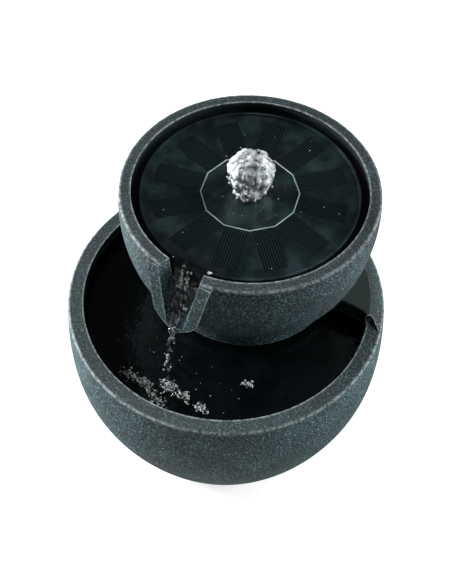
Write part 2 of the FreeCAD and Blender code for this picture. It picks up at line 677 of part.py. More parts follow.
def pole_slots(y0, y1, clearance):
    """The four gaps in the stator that hold its windings."""
    half = 3.0 - clearance
    slots = []
    for i in range(4):
        slot = box(-half, half, UPPER_Y + y0, UPPER_Y + y1, PUMP_AXIS_Z + 12.2 + clearance, PUMP_AXIS_Z + 16.4)
        slot.rotate(V(0, UPPER_Y, PUMP_AXIS_Z), Y_AXIS, 90 * i + 45)
        slots.append(slot)
    return slots


def stator_core():
    core = pump_ring(17.4, 11.3, 16, 30)
    for slot in pole_slots(15, 31, 0.0):
        core = core.cut(slot)
    return core


def stator_windings():
    return pole_slots(14, 32, 0.2)


def drive_board():
    return pump_ring(17.4, 11.3, 33.5, 35.0)


def pump_rear_cap():
    """The potting that seals the motor, with the cable's exit."""
    cap = pump_cylinder(17.9, 38.2, 42)
    return cap.cut(pump_cylinder(CABLE_BORE_R, 38, 43, 9.0, -8.0))


def suction_cups():
    cups = []
    for x in (-14.0, 14.0):
        for y in (UPPER_Y + 15.0, UPPER_Y + 35.0):
            cups.append(Part.makeCone(7.0, 3.0, PUMP_AXIS_Z - PUMP_HALF - LOWER_FLOOR_Z, V(x, y, LOWER_FLOOR_Z), Z_AXIS))
    return cups


def inlet_strainer():
    """The slotted front cage, which pulls off for cleaning."""
    half, wall = 20.5, 2.0
    cage = pump_box(half, half, -31, -6.5).cut(pump_box(half - wall, half - wall, -29, -6))
    for i in range(-3, 4):
        x = i * 5.0
        for z0, z1 in ((-17.0, -10.5), (10.5, 17.0)):
            slot = box(x - 1.2, x + 1.2, UPPER_Y - 32, UPPER_Y - 28, PUMP_AXIS_Z + z0, PUMP_AXIS_Z + z1)
            cage = cage.cut(slot)
    for i in range(4):
        y = UPPER_Y - 26 + i * 5.0
        cage = cage.cut(box(-22, 22, y - 1.2, y + 1.2, PUMP_AXIS_Z - 15, PUMP_AXIS_Z + 15))
    return cage.cut(pump_cylinder(3.05, -32, -28)).removeSplitter()


def filter_sponge():
    return pump_box(17.5, 17.5, -26, -11)


def flow_dial():
    """The flow knob on the front of the cage, with a grip bar across it."""
    dial = pump_cylinder(DIAL_R, -33.2, -31.1).fuse(pump_cylinder(3.0, -31.1, -27.5))
    bar = box(-1.4, 1.4, UPPER_Y - 36.0, UPPER_Y - 33.2, PUMP_AXIS_Z - 8.0, PUMP_AXIS_Z + 8.0)
    return dial.fuse(bar).removeSplitter()


def pump_cable():
    """The cable from the motor's rear cap up to the inline socket."""
    start_z = PUMP_AXIS_Z - 8.0
    path = [(9.0, UPPER_Y + 38.3, start_z), (9.0, UPPER_Y + 44.0, start_z), (13.0, UPPER_Y + 56.0, 60.0)]
    path += [(24.0, UPPER_Y + 28.0, 112.0), (GLAND_X, UPPER_Y, 148.0), (GLAND_X, UPPER_Y, 158.0)]
    return cable(path, CABLE_R)


def cable_socket():
    socket = cylinder(5.6, 158.0, 180.8, GLAND_X, UPPER_Y)
    return socket.cut(cylinder(2.6, 170.0, 181.0, GLAND_X, UPPER_Y))


def main():
    os.makedirs(OUT, exist_ok=True)
    save("lower_bowl", lower_bowl())
    save("seat_ring", seat_ring())
    save("drain_seal", drain_seal())
    save("drain_plug", drain_plug())
    save("upper_bowl", upper_bowl())
    save("bowl_bulkhead", bowl_bulkhead())
    save("bulkhead_seal", bulkhead_seal())
    save("bulkhead_nut", bulkhead_nut())
    save("cable_gland", cable_gland())
    save("gland_nut", gland_nut())
    save("upper_hose", upper_hose())
    save("upper_hose_clip", hose_clip(242.0))
    save("panel_cable", panel_cable())
    save("panel_plug", panel_plug())
    save("lower_plug", lower_plug())
    save("panel_tray", panel_tray())
    save("solar_cells", *solar_cells())
    save("cell_busbar", cell_busbar())
    save("panel_cover", panel_cover())
    save("panel_legs", *panel_legs())
    save("leg_pads", *leg_pads())
    save("control_box", control_box())
    save("control_box_lid", control_box_lid())
    save("lid_seal", lid_seal())
    save("lid_screws", *lid_screws())
    save("battery_cell", battery_cell())
    save("battery_contacts", *battery_contacts())
    save("circuit_board", circuit_board())
    save("board_parts", *board_parts())
    save("panel_socket", panel_socket())
    save("power_button", power_button())
    save("nozzle", nozzle())
    save("water_jet", water_jet())
    save("lower_hose", lower_hose())
    save("lower_hose_clips", hose_clip(66.0), hose_clip(194.0))
    save("pump_body", pump_body())
    save("volute_cover", volute_cover())
    save("volute_seal", volute_seal())
    save("volute_screws", *volute_screws())
    save("rotor_shaft", rotor_shaft())
    save("shaft_bushes", *shaft_bushes())
    save("impeller", impeller())
    save("rotor_magnet", rotor_magnet())
    save("stator_core", stator_core())
    save("stator_windings", *stator_windings())
    save("drive_board", drive_board())
    save("pump_rear_cap", pump_rear_cap())
    save("suction_cups", *suction_cups())
    save("inlet_strainer", inlet_strainer())
    save("filter_sponge", filter_sponge())
    save("flow_dial", flow_dial())
    save("pump_cable", pump_cable())
    save("cable_socket", cable_socket())


main()
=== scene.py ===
import json
import math
import random

import bmesh
import bpy
from mathutils import Matrix, Vector, noise


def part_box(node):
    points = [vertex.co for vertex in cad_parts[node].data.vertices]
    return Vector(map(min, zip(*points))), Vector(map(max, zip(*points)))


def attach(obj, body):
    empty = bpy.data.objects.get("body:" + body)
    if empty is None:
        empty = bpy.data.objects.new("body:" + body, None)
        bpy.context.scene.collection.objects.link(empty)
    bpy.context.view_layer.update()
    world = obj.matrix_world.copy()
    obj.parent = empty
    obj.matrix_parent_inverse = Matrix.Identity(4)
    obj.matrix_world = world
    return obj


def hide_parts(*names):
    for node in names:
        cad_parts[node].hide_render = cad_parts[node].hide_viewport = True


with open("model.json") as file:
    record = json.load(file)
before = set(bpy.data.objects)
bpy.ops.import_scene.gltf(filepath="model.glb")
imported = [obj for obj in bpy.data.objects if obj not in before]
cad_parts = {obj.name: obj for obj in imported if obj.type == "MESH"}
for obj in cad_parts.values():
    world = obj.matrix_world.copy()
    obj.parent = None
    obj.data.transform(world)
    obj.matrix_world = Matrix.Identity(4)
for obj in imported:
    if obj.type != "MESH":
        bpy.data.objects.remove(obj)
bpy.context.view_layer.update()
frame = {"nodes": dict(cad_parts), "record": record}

MM = 0.001
SEED = 7


def node_box(node):
    """A node's lowest and highest corners in millimetres, to a tenth."""
    return [[round(value / MM, 1) for value in corner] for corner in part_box(node)]


# Sizes and places in millimetres, which follow the two bowls and the panel of the frame
LOWER_TOP = node_box("lower_bowl")[1]
UPPER_LOW, UPPER_TOP = node_box("upper_bowl")
PANEL_LOW, PANEL_TOP = node_box("panel_tray")
DECK_STEP = 8.0
LOWER_RIM_Z = LOWER_TOP[2] - DECK_STEP
LOWER_RIM_R = LOWER_TOP[0] - 3.2
LOWER_MOUTH_R = LOWER_RIM_R - 15.0
PANEL_R = PANEL_TOP[0]
UPPER_Y = (PANEL_LOW[1] + PANEL_TOP[1]) / 2
UPPER_RIM_Z = UPPER_TOP[2]

# A rim is the y of its axis, its outer and inner radii and its height
LOWER_RIM = (0.0, LOWER_RIM_R, LOWER_MOUTH_R, LOWER_RIM_Z)
UPPER_RIM = (UPPER_Y, PANEL_R + 18.0, PANEL_R + 7.0, UPPER_RIM_Z)

# Water: the sheet in each bowl, the spout's tip and the place where its stream lands
POOL_LEVEL = LOWER_RIM_Z - 20.0
POOL_R = LOWER_MOUTH_R + 4.7
POOL_THICK = 4.0
BASIN_LEVEL = PANEL_TOP[2] + 0.9
BASIN_R = PANEL_R + 7.4
BASIN_THICK = 0.8
TIP = (0.0, UPPER_LOW[1] - 0.2, UPPER_RIM_Z - 67.0)
SPLASH = (0.0, TIP[1] - 14.5)

# Panel: strips of cells round its middle, the pitch of the lines on them and the share that a line takes
CELL_COUNT = 12
FINGER_PITCH = 2.45
FINGER_SHARE = 0.55
GAP_PITCH = 1.35
GAP_SHARE = 0.28

# Stone: the grain's colours from dark to pale, and what lies over them
GRAIN_STOPS = [(0.40, (0.002, 0.008, 0.010)), (0.50, (0.014, 0.034, 0.040)),
               (0.56, (0.058, 0.118, 0.130)), (0.63, (0.30, 0.43, 0.45))]
PALE_FLECK = (0.19, 0.29, 0.30)
LEVEL_SHADE = (0.014, 0.024, 0.026)
DECK_SHADE = (0.006, 0.017, 0.014)
# Wet stone, darkened further by painted shade, on the bowls' inward faces
WET_AND_SHADED_INSIDE = (0.006, 0.011, 0.012)
# Painted highlight along the stone's edges
EDGE_HIGHLIGHT = (0.48, 0.55, 0.57)
EDGE_ROUND = 0.0022

# Plain finishes: colour, roughness, metal, grain scale, grain depth in metres, colour spread and glow
FINISHES = {
    "rubber": ((0.02, 0.02, 0.021), 0.7, 0.0, 900.0, 0.0002),
    "hose": ((0.07, 0.085, 0.085), 0.3, 0.0, 300.0, 0.0002),
    "steel": ((0.55, 0.55, 0.55), 0.3, 1.0, 1200.0, 0.0001, 0.1),
    "black_plastic": ((0.013, 0.019, 0.020), 0.42, 0.0, 1400.0, 0.00015),
    "grey_plastic": ((0.2, 0.21, 0.22), 0.45, 0.0, 1400.0, 0.00015),
    "white_plastic": ((0.75, 0.75, 0.72), 0.4, 0.0, 1400.0, 0.0001, 0.06),
    "button": ((0.4, 0.05, 0.03), 0.5, 0.0, 1000.0, 0.00015),
    "bush": ((0.8, 0.79, 0.75), 0.25, 0.0, 1500.0, 0.00005, 0.05),
    "core": ((0.18, 0.18, 0.19), 0.45, 1.0, 1000.0, 0.0002),
    "copper": ((0.55, 0.24, 0.12), 0.3, 1.0, 1300.0, 0.0003),
    "magnet": ((0.07, 0.07, 0.075), 0.5, 0.4, 900.0, 0.0002),
    "potting": ((0.01, 0.01, 0.011), 0.2, 0.0, 200.0, 0.0003),
    "cable": ((0.015, 0.015, 0.016), 0.45, 0.0, 700.0, 0.0001),
    "sponge": ((0.03, 0.03, 0.035), 0.95, 0.0, 500.0, 0.0018, 0.7),
    # The busbar's glow is painted light, which keeps its lines bright
    "busbar": ((0.95, 0.97, 0.97), 0.4, 0.0, 1500.0, 0.00005, 0.05, 0.12),
    "battery": ((0.05, 0.16, 0.07), 0.3, 0.2, 600.0, 0.0001),
}

# Drops and bubbles: faces from pole to pole and round the middle
BALL_ROWS = 6
BALL_COLUMNS = 9

# Plume: its radius and its height above the panel, from its foot to its top
PLUME_OUTLINE = [(13.5, 1.1), (14.5, 4.5), (16.5, 10.5), (18.6, 17.5), (19.6, 25.5),
                 (19.2, 32.5), (16.5, 39.5), (10.0, 44.5), (0.05, 46.5)]
SPRAY_LOW = PANEL_TOP[2] + 4.5
SPRAY_CROWN = PANEL_TOP[2] + 38.5
SPRAY_HIGH = PANEL_TOP[2] + 48.5

# Rafts of bubbles on the pool (x, y, spread and number) and torn lumps of water (x, y, width and height)
RAFTS = [(-36, -118, 6.0, 46), (-17, -119, 6.5, 46), (0, -127, 7.0, 50),
         (5, -109, 6.5, 52), (21, -110, 5.5, 40), (40, -113, 5.0, 34),
         (47, -113, 3.0, 16), (0, -106, 5.0, 40), (65, -67, 3.6, 30)]
LUMPS = [(-34, -118, 8, 3.5), (-19, -118, 9, 4.5), (-2, -126, 9, 4),
         (5, -110, 7, 6), (20, -110, 7, 4), (38, -113, 6, 3)]

# Studio, in metres: the floor, and each lamp's place, width and power
FLOOR_HALF = 6.0
LAMPS = {
    "key": ((-1.40, -0.30, 0.55), 0.7, 50.0),
    "top": ((0.75, 0.75, 1.35), 0.7, 9.0),
    "right": ((1.2, 0.85, 0.60), 0.6, 16.0),
    "front": ((0.1, -1.4, 0.5), 0.9, 0.5),
}
LAMP_TARGET = Vector((0.0, 0.0, 0.2))
SKY_LIGHT = 0.07
SKY_SEEN = 0.98

# Camera: its place in metres, and how far it is turned, pitched down and rolled, in degrees
CAMERA_PLACE = Vector((0.2938, -0.4933, 1.0179))
CAMERA_TURN, CAMERA_PITCH, CAMERA_ROLL = 30.8, 54.39, 0.884
CAMERA_LENS = 61.64
CAMERA_SENSOR = 36.0


# ---------------------------------------------------------------- node helpers
def new_material(name):
    material = bpy.data.materials.new(name)
    material.use_nodes = True
    material.node_tree.nodes.clear()
    return material, material.node_tree


def add(tree, kind, props=None, inputs=None):
    """A node with its properties and inputs set. An input may be a value or another node's output."""
    made = tree.nodes.new(kind)
    for key, value in (props or {}).items():
        setattr(made, key, value)
    for key, value in (inputs or {}).items():
        if isinstance(value, bpy.types.NodeSocket):
            tree.links.new(value, made.inputs[key])
        else:
            made.inputs[key].default_value = value
    return made


def calc(tree, operation, a, b=0.0):
    return add(tree, "ShaderNodeMath", {"operation": operation}, {0: a, 1: b}).outputs[0]


def times(tree, a, b):
    return calc(tree, "MULTIPLY", a, b)


def minus(tree, a, b):
    return calc(tree, "SUBTRACT", a, b)


def clamp01(tree, value):
    return add(tree, "ShaderNodeClamp", None, {"Value": value}).outputs[0]


def rgba(colour):
    return (colour[0], colour[1], colour[2], 1.0)


def mix_colour(tree, factor, a, b, blend="MIX"):
    made = add(tree, "ShaderNodeMix", {"data_type": "RGBA", "blend_type": blend})
    for index, value in ((0, factor), (6, a), (7, b)):
        if isinstance(value, bpy.types.NodeSocket):
            tree.links.new(value, made.inputs[index])
        else:
            made.inputs[index].default_value = value
    return made.outputs[2]


def coords(tree):
    return add(tree, "ShaderNodeTexCoord").outputs["Object"]


def noise_value(tree, where, scale, detail=4.0, roughness=0.55):
    inputs = {"Vector": where, "Scale": scale, "Detail": detail, "Roughness": roughness}
    return add(tree, "ShaderNodeTexNoise", None, inputs).outputs[0]


def ramp(tree, value, stops):
    made = add(tree, "ShaderNodeValToRGB", None, {"Fac": value})
    elements = made.color_ramp.elements
    while len(elements) < len(stops):
        elements.new(0.5)
    for element, (place, colour) in zip(elements, stops):
        element.position = place
        element.color = rgba(colour)
    return made.outputs[0]


def grey(value):
    return (value, value, value)


def bump(tree, height, strength, distance, normal=None):
    inputs = {"Height": height, "Strength": strength, "Distance": distance}
    if normal is not None:
        inputs["Normal"] = normal
    return add(tree, "ShaderNodeBump", None, inputs).outputs[0]


def finish_material(material, tree, shader):
    output = add(tree, "ShaderNodeOutputMaterial")
    tree.links.new(shader, output.inputs["Surface"])
    return material


def principled(tree, inputs):
    return add(tree, "ShaderNodeBsdfPrincipled", None, inputs).outputs[0]


def scaled_place(tree):
    """The point on the object in millimetres, as separate x, y and z."""
    parts = add(tree, "ShaderNodeSeparateXYZ", None, {0: coords(tree)})
    return [times(tree, parts.outputs[i], 1.0 / MM) for i in range(3)]


def length2(tree, a, b):
    return calc(tree, "SQRT", calc(tree, "ADD", times(tree, a, a), times(tree, b, b)))


# ---------------------------------------------------------------- materials
def near_edge(tree, radius, height, edge_r, edge_z, width):
    """1 on the circle of that radius and height, falling off over the width."""
    off = length2(tree, minus(tree, radius, edge_r), minus(tree, height, edge_z))
    return clamp01(tree, minus(tree, 1.0, calc(tree, "DIVIDE", off, width)))


def sharp_edges(tree, radius):
    """1 along sharp edges, where a slightly rounded surface would face another way than the real one."""
    soft = add(tree, "ShaderNodeBevel", {"samples": 6}, {"Radius": radius}).outputs[0]
    hard = add(tree, "ShaderNodeNewGeometry").outputs["Normal"]
    compare = add(tree, "ShaderNodeVectorMath", {"operation": "DOT_PRODUCT"}, {0: soft, 1: hard})
    return clamp01(tree, times(tree, minus(tree, 0.99, compare.outputs["Value"]), 9.0))


def speckle(tree, where, grain, tint):
    """Dark grains among paler ones, with pale flecks, clouded at a larger scale."""
    fleck = noise_value(tree, where, 800.0, 2.0, 0.6)
    cloud = noise_value(tree, where, 28.0, 3.0, 0.6)
    base = ramp(tree, grain, GRAIN_STOPS)
    flecked = ramp(tree, fleck, [(0.60, grey(0.0)), (0.66, grey(0.7))])
    base = mix_colour(tree, flecked, base, rgba(PALE_FLECK))
    clouded = ramp(tree, cloud, [(0.3, grey(0.6)), (0.7, grey(1.25))])
    base = mix_colour(tree, 1.0, base, clouded, "MULTIPLY")
    return mix_colour(tree, 1.0, base, rgba(tint), "MULTIPLY")


def edge_highlight_places(tree, where, radius, z, rim):
    """Where the painted highlight goes: 1 along the rim's two edges and every sharp edge, broken up by noise.
    """
    _centre_y, outer_r, inner_r, rim_z = rim
    highlight_mask = calc(tree, "MAXIMUM", near_edge(tree, radius, z, outer_r - 0.7, rim_z - 0.7, 2.3),
                near_edge(tree, radius, z, inner_r, rim_z, 1.8))
    highlight_mask = clamp01(tree, calc(tree, "MAXIMUM", highlight_mask, sharp_edges(tree, EDGE_ROUND)))
    broken = ramp(tree, noise_value(tree, where, 260.0, 3.0), [(0.36, grey(0.15)), (0.62, grey(1.0))])
    return times(tree, highlight_mask, broken)


def stone_material(name, rim, tint):
    """Speckled, pitted cast stone: darker on level faces and above the rim as painted shade, wet and darker
    in painted shade inside, with a painted highlight along its edges.
    """
    material, tree = new_material(name)
    where = coords(tree)
    x, y, z = scaled_place(tree)
    off_y = minus(tree, y, rim[0])
    radius = length2(tree, x, off_y)
    facing = add(tree, "ShaderNodeTexCoord").outputs["Normal"]
    normal = add(tree, "ShaderNodeSeparateXYZ", None, {0: facing})
    outward = calc(tree, "ADD", times(tree, normal.outputs[0], x), times(tree, normal.outputs[1], off_y))
    facing_in = clamp01(tree, times(tree, outward, -0.05))
    level = clamp01(tree, times(tree, minus(tree, normal.outputs[2], 0.7), 5.0))
    above_rim = clamp01(tree, times(tree, minus(tree, z, rim[3] + 2.0), 0.2))
    highlight_mask = edge_highlight_places(tree, where, radius, z, rim)

    grain = noise_value(tree, where, 520.0, 4.0, 0.75)
    base = speckle(tree, where, grain, tint)
    base = mix_colour(tree, times(tree, level, 0.6), base, rgba(LEVEL_SHADE))
    # Painted shade: inward faces are wet and also darkened as the shade inside the bowl
    base = mix_colour(tree, times(tree, facing_in, 0.88), base, rgba(WET_AND_SHADED_INSIDE))
    base = mix_colour(tree, times(tree, above_rim, 0.8), base, rgba(DECK_SHADE))
    # Painted highlight along the rim's edges and every sharp edge
    base = mix_colour(tree, times(tree, highlight_mask, 0.95), base, rgba(EDGE_HIGHLIGHT))

    pits = add(tree, "ShaderNodeTexVoronoi", None, {"Vector": where, "Scale": 420.0}).outputs["Distance"]
    pit_height = ramp(tree, pits, [(0.05, grey(0.0)), (0.35, grey(1.0))])
    surface = bump(tree, grain, 0.8, 0.0018)
    surface = bump(tree, pit_height, 0.35, 0.0006, surface)
    gloss = minus(tree, 0.62, times(tree, facing_in, 0.3))
    shader = principled(tree, {"Base Color": base, "Roughness": gloss, "Normal": surface,
                               "Specular IOR Level": 0.45})
    return finish_material(material, tree, shader)


def grained(name, colour, rough, metal, scale, depth, spread=0.25, glow=0.0):
    """A plain engineering finish with fine grain in its colour, gloss and surface, and painted light where a
    glow is given.
    """
    material, tree = new_material(name)
    grain = noise_value(tree, coords(tree), scale, 4.0, 0.6)
    low = tuple(c * (1 - spread) for c in colour)
    high = tuple(min(1.0, c * (1 + spread)) for c in colour)
    base = ramp(tree, grain, [(0.3, low), (0.7, high)])
    gloss = calc(tree, "ADD", rough - 0.06, times(tree, grain, 0.12))
    shader = principled(tree, {"Base Color": base, "Roughness": gloss, "Metallic": metal,
                               "Emission Color": base, "Emission Strength": glow,
                               "Normal": bump(tree, grain, 0.5, depth)})
    return finish_material(material, tree, shader)


def strip_coords(tree):
    """Distance along and across the cell strip that a point of the panel lies in."""
    x, y, _z = scaled_place(tree)
    off_y = minus(tree, y, UPPER_Y)
    radius = length2(tree, x, off_y)
    step = 2 * math.pi / CELL_COUNT
    turn = calc(tree, "ADD", calc(tree, "ARCTAN2", off_y, x), 2 * math.pi)
    local = minus(tree, calc(tree, "MODULO", turn, step), step / 2)
    along = times(tree, radius, calc(tree, "COSINE", local))
    across = times(tree, radius, calc(tree, "SINE", local))
    return along, across


def stripes(tree, value, pitch, share):
    """1 on lines of that share of the pitch."""
    place = calc(tree, "FRACT", calc(tree, "DIVIDE", calc(tree, "ADD", value, 500.0 * pitch), pitch))
    return calc(tree, "LESS_THAN", place, share)


def cell_material():
    """Grey strips between dark lines along them, crossed by thin gaps between the cells of a strip."""
    material, tree = new_material("solar_cell")
    along, across = strip_coords(tree)
    fingers = stripes(tree, across, FINGER_PITCH, FINGER_SHARE)
    gaps = stripes(tree, along, GAP_PITCH, GAP_SHARE)
    grain = noise_value(tree, coords(tree), 900.0, 2.0)
    silicon = ramp(tree, grain, [(0.3, (0.030, 0.043, 0.050)), (0.7, (0.054, 0.074, 0.084))])
    base = mix_colour(tree, times(tree, gaps, 0.25), silicon, rgba((0.008, 0.011, 0.013)))
    base = mix_colour(tree, fingers, base, rgba((0.0010, 0.0014, 0.0018)))
    shader = principled(tree, {"Base Color": base, "Roughness": 0.32, "Specular IOR Level": 0.25})
    return finish_material(material, tree, shader)


def from_outside(tree, share):
    """The share where the surface is met from outside, and 0 where it is met from within."""
    inside = add(tree, "ShaderNodeNewGeometry").outputs["Backfacing"]
    return times(tree, share, minus(tree, 1.0, inside))


def clear_material(name, tint, rough, ripple_scale=0.0, ripple_depth=0.0):
    """A thin clear skin: what lies under it shows through, and it mirrors light at its outside."""
    material, tree = new_material(name)
    mirror_inputs = {"Roughness": rough}
    fresnel_inputs = {"IOR": 1.33}
    if ripple_scale:
        waves = noise_value(tree, coords(tree), ripple_scale, 3.0, 0.5)
        normal = bump(tree, waves, 1.0, ripple_depth)
        mirror_inputs["Normal"] = normal
        fresnel_inputs["Normal"] = normal
    see = add(tree, "ShaderNodeBsdfTransparent", None, {"Color": rgba(tint)}).outputs[0]
    mirror = add(tree, "ShaderNodeBsdfGlossy", None, mirror_inputs).outputs[0]
    fresnel = add(tree, "ShaderNodeFresnel", None, fresnel_inputs).outputs[0]
    share = from_outside(tree, fresnel)
    mixed = add(tree, "ShaderNodeMixShader", None, {0: share, 1: see, 2: mirror}).outputs[0]
    return finish_material(material, tree, mixed)


def pool_material():
    """Still, dark water: nearly black, mirror-bright, with small ripples."""
    material, tree = new_material("pool_water")
    where = coords(tree)
    waves = noise_value(tree, where, 70.0, 3.0, 0.5)
    fine = noise_value(tree, where, 240.0, 2.0, 0.5)
    cloud = noise_value(tree, where, 30.0, 3.0)
    normal = bump(tree, fine, 0.35, 0.0006, bump(tree, waves, 0.6, 0.0016))
    base = ramp(tree, cloud, [(0.35, (0.0015, 0.0025, 0.003)), (0.7, (0.005, 0.008, 0.009))])
    shader = principled(tree, {"Base Color": base, "Roughness": 0.05, "IOR": 1.33, "Normal": normal})
    return finish_material(material, tree, shader)


def tray_material():
    """Dark moulded disc with paler clouds in it."""
    material, tree = new_material("panel_tray")
    where = coords(tree)
    cloud = noise_value(tree, where, 42.0, 5.0, 0.6)
    base = ramp(tree, cloud, [(0.36, (0.008, 0.013, 0.015)), (0.5, (0.022, 0.034, 0.038)),
                              (0.64, (0.060, 0.084, 0.092))])
    surface = bump(tree, noise_value(tree, where, 1300.0, 3.0), 0.4, 0.00015)
    shader = principled(tree, {"Base Color": base, "Roughness": 0.4, "Normal": surface})
    return finish_material(material, tree, shader)


def splashing_material(name, foam_low, foam_high, scale, shine=2.2, detail=4.0):
    """Moving water: clear and dark where it is smooth, white where air is drawn in."""
    material, tree = new_material(name)
    where = coords(tree)
    grain = noise_value(tree, where, scale, detail, 0.65)
    foam = ramp(tree, grain, [(foam_low, grey(0.0)), (foam_high, grey(1.0))])
    normal = bump(tree, grain, 0.6, 0.0015)
    white = principled(tree, {"Base Color": rgba((0.86, 0.90, 0.91)), "Roughness": 0.22, "Normal": normal})
    see = add(tree, "ShaderNodeBsdfTransparent", None, {"Color": rgba((0.62, 0.68, 0.70))}).outputs[0]
    mirror = add(tree, "ShaderNodeBsdfGlossy", None, {"Roughness": 0.04, "Normal": normal}).outputs[0]
    fresnel = add(tree, "ShaderNodeFresnel", None, {"IOR": 1.5, "Normal": normal}).outputs[0]
    share = from_outside(tree, clamp01(tree, times(tree, fresnel, shine)))
    clear = add(tree, "ShaderNodeMixShader", None, {0: share, 1: see, 2: mirror}).outputs[0]
    mixed = add(tree, "ShaderNodeMixShader", None, {0: foam, 1: clear, 2: white}).outputs[0]
    return finish_material(material, tree, mixed)


def board_material():
    """Green lacquer with copper tracks showing through it."""
    material, tree = new_material("board")
    x, y, _z = scaled_place(tree)
    tracks = calc(tree, "MAXIMUM", stripes(tree, x, 3.1, 0.2), stripes(tree, y, 3.7, 0.2))
    lacquer, over_copper = (0.02, 0.14, 0.05), (0.08, 0.3, 0.1)
    base = mix_colour(tree, times(tree, tracks, 0.6), rgba(lacquer), rgba(over_copper))
    return finish_material(material, tree, principled(tree, {"Base Color": base, "Roughness": 0.3}))


def make_materials():
    """The finish of each material slot of the record, apart from stone, of which each bowl has its own copy,
    lighter on the lower bowl as painted light and darker on the upper as painted shade.
    """
    materials = {name: grained(name, *values) for name, values in FINISHES.items()}
    materials["board"] = board_material()
    materials["solar_cell"] = cell_material()
    materials["clear_cover"] = clear_material("clear_cover", (0.90, 0.94, 0.93), 0.12)
    materials["water"] = splashing_material("plume_base", 0.4, 0.6, 160.0)
    return materials


def dress(materials):
    """Gives every node of the frame its finish: its own, or its material slot's."""
    own = {
        # One stone for both bowls: the tints add teal, and brighten the lower bowl's copy as painted light
        # and darken the upper bowl's as painted shade
        "lower_bowl": stone_material("lower_stone", LOWER_RIM, (1.04, 1.22, 1.24)),
        "upper_bowl": stone_material("upper_stone", UPPER_RIM, (0.86, 0.96, 1.0)),
        "panel_tray": tray_material(),
    }
    for entry in frame["record"]["subparts"]:
        thing = frame["nodes"][entry["node"]]
        thing.data.materials.clear()
        thing.data.materials.append(own.get(entry["node"]) or materials[entry["material_slot"]])


# ---------------------------------------------------------------- meshes
def make_mesh(name, points, faces, material, smooth=True):
    """A piece from points in millimetres. A smooth one has doubled points merged and open ends closed."""
    mesh = bpy.data.meshes.new(name)
    mesh.from_pydata([Vector(p) * MM for p in points], [], faces)
    mesh.materials.append(material)
    if smooth:
        work = bmesh.new()
        work.from_mesh(mesh)
        bmesh.ops.remove_doubles(work, verts=work.verts, dist=0.001 * MM)
        bmesh.ops.holes_fill(work, edges=[e for e in work.edges if e.is_boundary], sides=0)
        bmesh.ops.recalc_face_normals(work, faces=work.faces)
        work.to_mesh(mesh)
        work.free()
    for polygon in mesh.polygons:
        polygon.use_smooth = smooth
    mesh.update()
    piece = bpy.data.objects.new(name, mesh)
    bpy.context.scene.collection.objects.link(piece)
    return piece


def ring_faces(rows, columns):
    """Faces between rings of points, where each ring closes on itself."""
    faces = []
    for i in range(rows - 1):
        for j in range(columns):
            k = (j + 1) % columns
            faces.append((i * columns + j, i * columns + k, (i + 1) * columns + k, (i + 1) * columns + j))
    return faces


def water_disc(name, centre, radius, level, height_at, material, rings, spokes, thick):
    """A round sheet of water, flat underneath, whose top varies by height_at(x, y)."""
    points = []
    top_rings = [(radius * i / (rings - 1), True) for i in range(rings)]
    for r, is_top in top_rings + [(radius, False), (0.0, False)]:
        for j in range(spokes):
            turn = 2 * math.pi * j / spokes
            x, y = centre[0] + r * math.cos(turn), centre[1] + r * math.sin(turn)
            points.append((x, y, level + height_at(x, y) if is_top else level - thick))
    return make_mesh(name, points, ring_faces(rings + 2, spokes), material)


def pool_height(x, y):
    """Rings that spread from where the stream lands, over a slight swell."""
    away = math.hypot(x - SPLASH[0], y - SPLASH[1])
    rings = 0.9 * math.exp(-away / 26.0) * math.cos(away * 2 * math.pi / 9.5)
    swell = 0.35 * noise.noise(Vector((x / 22.0, y / 22.0, 1.5)))
    return rings + swell


def basin_height(x, y):
    """Rings that spread from the plume, broken up by turbulence."""
    away = math.hypot(x, y - UPPER_Y)
    rings = 0.10 * math.exp(-away / 60.0) * math.cos(away * 2 * math.pi / 7.5)
    fine = 0.20 * noise.noise(Vector((x / 9.0, y / 9.0, 4.0)))
    coarse = 0.16 * noise.noise(Vector((x / 22.0, y / 22.0, 9.0)))
    return rings + fine + coarse


def plume_profile(t):
    """Radius and height of the plume, from its foot at 0 to its top at 1."""
    place = t * (len(PLUME_OUTLINE) - 1)
    i = min(int(place), len(PLUME_OUTLINE) - 2)
    share = place - i
    (low_r, low_z), (high_r, high_z) = PLUME_OUTLINE[i], PLUME_OUTLINE[i + 1]
    return low_r * (1 - share) + high_r * share, PANEL_TOP[2] + low_z * (1 - share) + high_z * share


def rough(point, size, seed):
    """Smooth noise from -1 to 1 whose lumps have that size."""
    return noise.noise(Vector(point) / size + Vector((seed, seed * 1.7, seed * 0.3)))


def plume(material):
    """The plume: its outline turned round the nozzle, with its surface torn at three scales."""
    rows, columns = 90, 110
    points = []
    for i in range(rows):
        r, z = plume_profile(i / (rows - 1))
        fade = min(1.0, r / 9.0)
        upper = max(0.0, i / rows - 0.5)
        for j in range(columns):
            turn = 2 * math.pi * j / columns
            flat = (math.cos(turn) * 20.0, math.sin(turn) * 20.0, z)
            push = 3.2 * rough(flat, 11.0, 2.0) + 1.9 * rough(flat, 5.0, 5.0) + 1.0 * rough(flat, 2.4, 8.0)
            reach = max(0.02, r + push * fade)
            x, y = reach * math.cos(turn), reach * math.sin(turn)
            points.append((x, UPPER_Y + y, z + 4.0 * rough((x, y, 3.0), 7.0, 3.0) * upper))
    return make_mesh("water_plume", points, ring_faces(rows, columns), material)


def ball_points(centre, radius, squash):
    points = []
    for i in range(BALL_ROWS + 1):
        tilt = math.pi * i / BALL_ROWS
        for j in range(BALL_COLUMNS):
            turn = 2 * math.pi * j / BALL_COLUMNS
            points.append((centre[0] + radius * math.sin(tilt) * math.cos(turn),
                           centre[1] + radius * math.sin(tilt) * math.sin(turn),
                           centre[2] + radius * squash * math.cos(tilt)))
    return points


